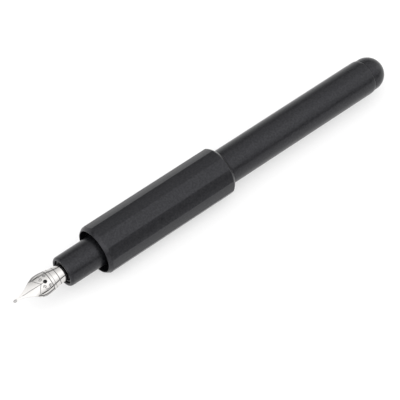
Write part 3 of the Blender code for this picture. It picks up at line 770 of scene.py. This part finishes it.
def nib_grid(stations, columns, edge_depth, under):
    """Points of one skin of the nib's half, in rows from the slit to the edge."""
    grid = np.zeros((len(stations), len(columns), 3))
    for row, (station, edge) in enumerate(zip(stations, edge_depth)):
        radius = nib_radius(station)
        inner = math.asin(slit_edge(station) / radius)
        outer = math.asin(nib_half_width(station) / radius)
        angles = inner + (outer - inner) * columns
        depth = NIB_THICKNESS - edge if under else edge
        reach = radius - depth
        grid[row, :, 0] = station
        grid[row, :, 1] = reach * np.sin(angles)
        grid[row, :, 2] = (nib_crown(station) - radius + reach * np.cos(angles)
                           + nib_fullness(station, grid[row, :, 1]))
    return grid


def nib_faces(top, bottom, last_open):
    """Faces of one half, from the point numbers of its two skins. It is open along the middle
    behind row last_open, where it meets the other half."""
    faces = []
    rows, count = top.shape
    for row in range(rows - 1):
        for column in range(count - 1):
            for grid in (top, bottom):
                faces.append((grid[row, column], grid[row, column + 1],
                              grid[row + 1, column + 1], grid[row + 1, column]))
        faces.append((top[row, -1], bottom[row, -1], bottom[row + 1, -1], top[row + 1, -1]))
        if row < last_open:
            faces.append((top[row, 0], bottom[row, 0], bottom[row + 1, 0], top[row + 1, 0]))
    for row in (0, rows - 1):
        for column in range(count - 1):
            faces.append((top[row, column], top[row, column + 1],
                          bottom[row, column + 1], bottom[row, column]))
    return [tuple(int(point) for point in face) for face in faces]


def make_nib():
    """Both halves as grids from slit to edge, doubled for the underside and closed round."""
    stations = nib_stations(span("nib")[1])
    columns = np.concatenate([[0.0, 0.012], np.linspace(0.04, 0.92, 52),
                              [0.94, 0.96, 0.98, 1.0]])
    rounded = np.interp(columns, [0.0, 0.012, 0.92, 0.94, 0.96, 0.98, 1.0],
                        [0.03, 0.0, 0.0, 0.01, 0.03, 0.07, 0.13])
    outer_only = np.where(columns < 0.5, 0.0, rounded)
    last_open = int(np.argmin(np.abs(stations - (BREATHER_AT + BREATHER_RADIUS))))
    edge_depth = [rounded if row < last_open else outer_only for row in range(len(stations))]
    points, faces, engraving_and_painted_reflection_depths = [], [], []
    for side in (1, -1):
        numbered = []
        for under in (False, True):
            grid = nib_grid(stations, columns, edge_depth, under)
            deep = np.zeros(grid.shape[:2])
            # the cut lines' depth, which also marks the hatch strokes of painted dark reflection
            if not under:
                deep = engraving(grid[..., 0], grid[..., 1])
                grid[..., 2] -= ENGRAVE_DEPTH * deep
            grid[..., 1] *= side
            start = sum(len(part) for part in points)
            numbered.append(start + np.arange(deep.size).reshape(deep.shape))
            points.append(grid.reshape(-1, 3))
            engraving_and_painted_reflection_depths.append(deep.reshape(-1))
        faces += nib_faces(*numbered, last_open)
    piece = add_mesh("finished_nib", np.concatenate(points), faces, 45.0, np.concatenate(engraving_and_painted_reflection_depths))
    stands_for(roll_mesh(piece), "nib", LOOKS["nib_steel"])


def roll_mesh(piece):
    """Turns a mesh about the pen's axis to the side the nib faces."""
    centre = Matrix.Translation((TIP_X, 0.0, AXIS_Z))
    piece.data.transform(centre @ Matrix.Rotation(NIB_ROLL, 4, "X") @ centre.inverted())
    return piece


def make_tipping():
    """The hard pellet on the tip, ground round and split by the slit."""
    work = bmesh.new()
    for side in (1, -1):
        half = bmesh.new()
        bmesh.ops.create_uvsphere(half, u_segments=48, v_segments=24, radius=TIPPING_RADIUS)
        bmesh.ops.scale(half, verts=half.verts, vec=TIPPING_STRETCH)
        everything = half.verts[:] + half.edges[:] + half.faces[:]
        cut = bmesh.ops.bisect_plane(half, geom=everything, plane_co=(0, side * SLIT_HALF, 0),
                                     plane_no=(0, -side, 0), clear_outer=True)
        edges = [item for item in cut["geom_cut"] if isinstance(item, bmesh.types.BMEdge)]
        bmesh.ops.contextual_create(half, geom=edges)
        shape = bpy.data.meshes.new("half_pellet")
        half.to_mesh(shape)
        half.free()
        work.from_mesh(shape)
        bpy.data.meshes.remove(shape)
    bmesh.ops.recalc_face_normals(work, faces=work.faces)
    height = nib_crown(0.0) - NIB_THICKNESS / 2
    middle = TIPPING_STRETCH[0] * TIPPING_RADIUS
    bmesh.ops.translate(work, verts=work.verts, vec=(middle, 0.0, height))
    mesh = bpy.data.meshes.new("nib_tipping")
    work.to_mesh(mesh)
    work.free()
    mesh.transform(Matrix.Translation((TIP_X, 0.0, AXIS_Z)) @ Matrix.Scale(MM, 4))
    mesh.shade_smooth()
    mesh.set_sharp_from_angle(angle=math.radians(40))
    mesh.materials.append(LOOKS["tipping_alloy"])
    piece = bpy.data.objects.new("nib_tipping", mesh)
    bpy.context.scene.collection.objects.link(piece)
    roll_mesh(piece)
    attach(piece, BODY_OF["nib"])


FEED_HALF_WIDTH = 2.42
FEED_TIP_HALF_WIDTH = 0.5
FEED_DEPTH = 2.72
FEED_TIP_DEPTH = -1.2         # the tip lies above the pen's axis
FIN_FIRST = 9.6
FIN_LAST = 17.2
FIN_PITCH = 0.95
FIN_SLOT_DEPTH = 0.9
CHANNEL_HALF = 0.175
CHANNEL_DEPTH = 0.6


def feed_loop(station, slotted):
    """The feed's outline across the pen: its top follows the nib and has the ink channel cut
    in it, and its belly is half round and finned."""
    front = span("feed")[0]
    opening = ease(station, front - 2.5, FIN_FIRST + 2.0)
    half = FEED_TIP_HALF_WIDTH + (FEED_HALF_WIDTH - FEED_TIP_HALF_WIDTH) * opening
    half = min(half, nib_half_width(station) - 0.3)
    swelling = ease(station, front - 1.0, FIN_FIRST + 3.5)
    depth = FEED_TIP_DEPTH + (FEED_DEPTH - FEED_TIP_DEPTH) * swelling
    if slotted:
        depth -= FIN_SLOT_DEPTH * swelling
    under_nib = NIB_THICKNESS + 0.05
    top = [half * math.cos(math.pi / 2 * step / 8) for step in range(8)] + [CHANNEL_HALF]
    right = [(across, nib_height(station, across, under_nib)) for across in top]
    floor = nib_crown(station) - under_nib - CHANNEL_DEPTH
    loop = right + [(CHANNEL_HALF, floor), (-CHANNEL_HALF, floor)]
    loop += [(-across, height) for across, height in reversed(right)]
    edge = right[0][1]
    for step in range(1, 24):
        angle = math.pi * (1 + step / 24)
        loop.append((half * math.cos(angle), edge + (edge + depth) * math.sin(angle)))
    return [(station, across, height) for across, height in loop]


def make_feed():
    front, rear, _ = span("feed")
    wall = 0.04
    stations = [(front + 6.0 * step / 12, False) for step in range(12)]
    slot = FIN_FIRST
    while slot < FIN_LAST:
        stations += [(slot, False), (slot + wall, True), (slot + FIN_PITCH / 2, True),
                     (slot + FIN_PITCH / 2 + wall, False)]
        slot += FIN_PITCH
    stations += [(FIN_LAST + 1.6, False), (rear, False)]
    rows = np.array([feed_loop(station, slotted) for station, slotted in stations])
    count = rows.shape[1]
    faces = wrap(len(rows), count, False) + end_caps(len(rows), count)
    piece = add_mesh("finished_feed", rows.reshape(-1, 3), faces, 35.0)
    stands_for(roll_mesh(piece), "feed", LOOKS["black_resin"])


def make_nib_housing():
    front, end, outer = span("nib_housing")
    body_rear = end - 7.0
    nipple, ink = 1.90, 0.80
    bore = SHANK_RADIUS + RUNNING_FIT
    back = span("feed")[1] + 0.2
    outline = [(front, bore + 0.15), (front, outer, 0.2), (body_rear, outer, 0.3),
               (body_rear, nipple), (end, nipple, 0.3), (end, ink), (back, ink), (back, bore)]
    finished("nib_housing", outline)


# Converter

TUBE_BORE = 2.65
NIPPLE_BORE = 1.98
GUIDE_RADIUS = 1.20
KNOB_FLUTES = 24
NUT_RADIUS = 2.50
ROD_RADIUS = 1.50
ROD_HALF_FLATS = 1.10
ROD_SIDES = 96
ROD_LEAD = 2.5                # two starts, so the ridges stand half of this apart
ROD_THREAD_DEPTH = 0.16
ROD_PLAIN_FRONT = 8.0
PISTON_CORE = 1.75
PISTON_GROOVE_HALF = 0.45


def make_converter_tube_parts():
    front, rear, radius = span("converter_mouth")
    tube_front, tube_rear, tube_radius = span("converter_tube")
    nipple_end = span("nib_housing")[1] + 0.3
    seat = tube_front - SEAT_GAP
    socket = tube_radius + SEAT_GAP
    outline = [(front, NIPPLE_BORE, 0.25), (front, radius, 0.4), (front + 2.0, radius),
               (front + 2.15, radius - 0.12), (front + 2.5, radius - 0.12),
               (front + 2.65, radius), (rear, radius, 0.15), (rear, socket), (seat, socket),
               (seat, GUIDE_RADIUS), (nipple_end, GUIDE_RADIUS), (nipple_end, NIPPLE_BORE)]
    finished("converter_mouth", outline)
    finished("converter_tube", tube(tube_front, tube_rear, tube_radius, TUBE_BORE), 0.15)

    front, rear, radius = span("converter_ferrule")
    seat = tube_rear + SEAT_GAP
    neck, rod_hole = 2.08, 1.58
    room_front, room_rear, room = 82.0, 83.8, 2.70
    outline = [(front, socket), (front, radius, 0.3)]
    for ring_at in (front + 2.0, front + 3.0, rear - 2.4):
        outline += [(ring_at - 0.15, radius, 0.04), (ring_at, radius - 0.15, 0.08),
                    (ring_at + 0.15, radius, 0.04)]
    outline += [(rear, radius, 0.2), (rear, neck), (room_rear, neck), (room_rear, room),
                (room_front, room), (room_front, rod_hole), (seat, rod_hole), (seat, socket)]
    finished("converter_ferrule", outline)


def make_converter_knob():
    front, rear, radius = span("converter_knob")
    shoulder = span("converter_ferrule")[1] + 0.3
    nut_front, nut_rear, _ = span("converter_nut")
    nut_front, nut_rear = nut_front - SEAT_GAP, nut_rear + SEAT_GAP
    clear, neck, flange = ROD_RADIUS + 0.15, 2.0, 2.6
    flute_front, flute_rear = shoulder + 2.0, rear - 2.0
    outline = [(rear, 0.0), (rear, radius, 0.8), (flute_rear + 0.4, radius, 0.0)]
    outline += stretch(flute_rear, flute_front, radius, 0.5)
    outline += [(shoulder, radius, 0.3), (shoulder, neck), (front + 1.2, neck),
                (front + 1.2, flange), (front, flange), (front, clear),
                (nut_front, clear), (nut_front, NUT_RADIUS), (nut_rear, NUT_RADIUS),
                (nut_rear, clear), (rear - 0.9, clear), (rear - 0.9, 0.0)]

    def flutes(stations, radii, angles):
        wave = 0.5 - 0.5 * np.cos(angles * KNOB_FLUTES)
        inside = np.minimum(stations - flute_front, flute_rear - stations)
        fade = np.clip(inside / 0.5, 0.0, 1.0) * (np.abs(radii - radius) < 0.01)
        return -0.22 * wave ** 2 * fade

    finished("converter_knob", outline, sides=192, relief=flutes)
    front, rear, outer = span("converter_nut")
    bore = ROD_RADIUS + RUNNING_FIT
    finished("converter_nut", [(front, bore), (front, outer), (rear, outer), (rear, bore)]
             + stretch(rear - THREAD_INSET, front + THREAD_INSET, bore))


def make_piston():
    front, rear, radius = span("piston_head")
    outline = [(front, 0.0), (front, radius, 0.2)]
    for place_at in ("front", "rear"):
        ring_front, ring_rear, _ = span("piston_seal_" + place_at)
        middle = (ring_front + ring_rear) / 2
        groove_front, groove_rear = middle - PISTON_GROOVE_HALF, middle + PISTON_GROOVE_HALF
        outline += [(groove_front, radius), (groove_front, PISTON_CORE),
                    (groove_rear, PISTON_CORE), (groove_rear, radius)]
        make_o_ring("piston_seal_" + place_at)
    outline += [(rear, radius, 0.2), (rear, 0.0)]
    finished("piston_head", outline, 0.06)


def make_piston_rod():
    front, rear, _ = span("piston_rod")
    angles = np.arange(ROD_SIDES) * TAU / ROD_SIDES
    stations = np.arange(front, rear, 0.2)
    stations[-1] = rear
    rows = []
    for station in stations:
        turn = (station / ROD_LEAD - angles / TAU) % 0.5
        runout = np.clip(min(station - front - ROD_PLAIN_FRONT, rear - station), 0.0, 1.0)
        groove = np.clip(1.5 - 6.4 * np.abs(turn - 0.25), 0.0, 1.0)
        radius = ROD_RADIUS - ROD_THREAD_DEPTH * runout * groove
        across = np.clip(radius * np.cos(angles), -ROD_HALF_FLATS, ROD_HALF_FLATS)
        rows.append(np.stack([np.full(ROD_SIDES, station), across, radius * np.sin(angles)], -1))
    faces = wrap(len(rows), ROD_SIDES, False) + end_caps(len(rows), ROD_SIDES)
    piece = add_mesh("finished_piston_rod", np.array(rows).reshape(-1, 3), faces, 30.0)
    stands_for(piece, "piston_rod", LOOKS["acetal"])


# Floor, light and camera

FLOOR_SIZE = 4.0
FLOOR_GLOW = 0.515             # the pale board is lit from below as well, as a light table is
NIB_END_GAIN = 1.45           # the room is brighter towards the nib's end
NIB_END_FROM, NIB_END_TO = -0.6, 0.3    # over these steps of the direction along the pen
ROOM = [                      # degrees round the pen from overhead towards -Y, brightness
    (-180, 0.95), (-120, 0.95), (-85, 0.95), (-66, 0.75), (-58, 0.60), (-55, 0.10),
    (-46, 0.10), (-43, 0.78), (-30, 0.92), (-18, 0.98), (-5, 1.12), (8, 1.32), (21, 1.55),
    (34, 1.62), (47, 1.46), (60, 1.25), (72, 1.02), (77, 0.85), (80, 0.03), (96, 0.03),
    (99, 0.40), (108, 0.70), (180, 0.95),
]


def make_floor():
    mesh = bpy.data.meshes.new("floor")
    half = FLOOR_SIZE / 2
    mesh.from_pydata([(-half, -half, 0), (half, -half, 0), (half, half, 0), (-half, half, 0)],
                     [], [(0, 1, 2, 3)])
    made, tree, shader = new_material("pale_board", (0.47, 0.47, 0.47), 0.9)
    tree.links.new(tint(tree, grain(tree, 3.0), (0.46, 0.46, 0.46), (0.48, 0.48, 0.48)),
                   shader.inputs["Base Color"])
    shader.inputs["Emission Color"].default_value = (1.0, 1.0, 1.0, 1.0)
    shader.inputs["Emission Strength"].default_value = FLOOR_GLOW
    mesh.materials.append(made)
    floor = bpy.data.objects.new("floor", mesh)
    bpy.context.scene.collection.objects.link(floor)


def make_light():
    """A white room whose long soft box hangs over the pen, with a dark gap on either side."""
    world = bpy.data.worlds.new("studio")
    bpy.context.scene.world = world
    world.use_nodes = True
    tree = world.node_tree
    direction = add_node(tree, "SeparateXYZ",
                         Vector=add_node(tree, "TexCoord").outputs["Generated"])
    aside = add_node(tree, "Math", {"operation": "MULTIPLY"})
    tree.links.new(direction.outputs["Y"], aside.inputs[0])
    aside.inputs[1].default_value = -1.0
    angle = add_node(tree, "Math", {"operation": "ARCTAN2"})
    tree.links.new(aside.outputs[0], angle.inputs[0])
    tree.links.new(direction.outputs["Z"], angle.inputs[1])
    share = add_node(tree, "MapRange", Value=angle.outputs[0])
    share.inputs["From Min"].default_value = -math.pi
    share.inputs["From Max"].default_value = math.pi
    ramp = add_node(tree, "ValToRGB", Fac=share.outputs["Result"])
    elements = ramp.color_ramp.elements
    while len(elements) < len(ROOM):
        elements.new(0.5)
    brightest = max(brightness for _, brightness in ROOM)
    for element, (degrees, brightness) in zip(elements, ROOM):
        element.position = (degrees + 180) / 360
        element.color = (*(brightness / brightest,) * 3, 1.0)
    nearer = add_node(tree, "MapRange", Value=direction.outputs["X"])
    nearer.inputs["From Min"].default_value = NIB_END_FROM
    nearer.inputs["From Max"].default_value = NIB_END_TO
    nearer.inputs["To Min"].default_value = brightest * NIB_END_GAIN
    nearer.inputs["To Max"].default_value = brightest
    tree.links.new(nearer.outputs["Result"], tree.nodes["Background"].inputs["Strength"])
    tree.links.new(ramp.outputs["Color"], tree.nodes["Background"].inputs["Color"])


def make_camera():
    azimuth, elevation = math.radians(CAMERA_AZIMUTH), math.radians(CAMERA_ELEVATION)
    back = Vector((math.sin(azimuth) * math.cos(elevation),
                   -math.cos(azimuth) * math.cos(elevation), math.sin(elevation)))
    aim = Vector(place((CAMERA_STATION, CAMERA_ASIDE, 0.0)))
    data = bpy.data.cameras.new("camera")
    data.lens = CAMERA_LENS
    data.sensor_width = 36.0
    data.clip_start = 0.01
    data.clip_end = 20.0
    camera = bpy.data.objects.new("camera", data)
    bpy.context.scene.collection.objects.link(camera)
    camera.location = aim + back * CAMERA_DISTANCE * MM
    roll = Quaternion((0, 0, 1), math.radians(CAMERA_ROLL))
    camera.rotation_mode = "QUATERNION"
    camera.rotation_quaternion = back.to_track_quat("Z", "Y") @ roll
    bpy.context.scene.camera = camera
    bpy.context.scene.view_settings.view_transform = "Standard"


make_camera()
make_floor()
make_light()
make_section()
make_barrel()
make_end_plug()
make_o_ring("section_o_ring")
make_o_ring("end_plug_o_ring")
make_sleeve_shell()
make_sleeve_insides()
make_nib()
make_tipping()
make_feed()
make_nib_housing()
make_converter_tube_parts()
make_converter_knob()
make_piston()
make_piston_rod()
